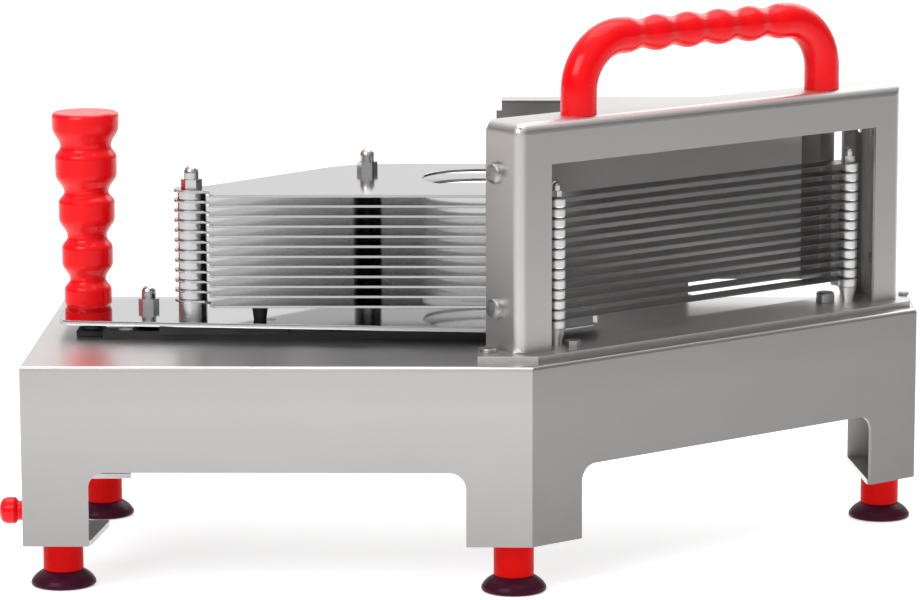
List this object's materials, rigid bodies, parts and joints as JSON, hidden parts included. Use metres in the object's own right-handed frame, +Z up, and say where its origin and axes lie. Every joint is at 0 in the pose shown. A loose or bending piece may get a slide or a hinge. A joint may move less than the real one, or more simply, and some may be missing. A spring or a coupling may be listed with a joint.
{
  "type": "manual vegetable slicer",
  "caption": "Hand-operated bench slicer with a sliding pusher carriage, slanted pack of thin blades, carry handle and suction feet.",
  "frame": {"origin": "centre of the bounding box in plan, at the height of the table under the suction feet", "axes": "+X from the grip towards the blades along the straight front face, +Y towards the rear guard, +Z up"},
  "size_m": [0.502, 0.217, 0.2998],
  "materials": {
    "brushed_sheet": "satin brushed stainless sheet",
    "polished_sheet": "bright, nearly mirror-like stainless sheet",
    "polished_steel": "polished turned steel",
    "blade_steel": "bright blade steel",
    "screw_steel": "bright zinc or stainless",
    "red_plastic": "glossy moulded plastic",
    "red_foot_plastic": "glossy moulded plastic, slightly more orange",
    "black_plastic": "matt moulded plastic",
    "black_rubber": "matt rubber",
    "cup_rubber": "smooth dark violet rubber, slightly translucent"
  },
  "bodies": {
    "base": {"base_shell": "brushed_sheet", "foot_plates": "brushed_sheet", "foot_tubes": "red_foot_plastic", "suction_cups": "cup_rubber", "foot_studs": "screw_steel", "foot_nuts": "screw_steel", "side_knob_bushing": "screw_steel", "mounting_plate": "brushed_sheet", "mounting_plate_fasteners": "screw_steel", "post_brackets": "brushed_sheet", "bracket_screws": "screw_steel", "blade_frame": "brushed_sheet", "frame_side_bolts": "screw_steel", "frame_bolt_nuts": "screw_steel", "blade_rods": "screw_steel", "rod_cone_nuts": "polished_steel", "blade_spacers": "polished_steel", "slicing_blades": "blade_steel", "rod_acorn_nuts": "polished_steel", "carry_handle": "red_plastic", "handle_screws": "screw_steel", "rear_guard": "brushed_sheet", "guard_screws": "screw_steel", "guard_cover": "brushed_sheet", "guide_rail": "black_plastic", "rail_screws": "screw_steel", "rest_pad": "black_rubber"},
    "carriage": {"sled_plate": "polished_sheet", "glide_shoes": "black_plastic", "glide_screws": "screw_steel", "pad_bolt": "screw_steel", "grip": "red_plastic", "grip_bolt": "screw_steel", "grip_washer": "black_plastic", "grip_nut": "screw_steel", "pusher_plates": "polished_sheet", "pusher_spacers": "polished_steel", "pusher_base_spacers": "polished_steel", "pusher_studs": "screw_steel", "acorn_nuts": "polished_steel", "plate_bumper": "black_rubber", "sled_bumper": "black_rubber"},
    "knob": {"side_knob": "red_plastic", "side_knob_screw": "screw_steel"}
  },
  "joints": [
    {"name": "carriage_slide", "type": "slide", "parent": "base", "child": "carriage", "axis": [1, 0, 0], "range_m": [0, 0.181]},
    {"name": "side_knob_turn", "type": "hinge", "parent": "base", "child": "knob", "pos_m": [-0.236, -0.0835, 0.041], "axis": [-1, 0, 0], "continuous": true}
  ]
}
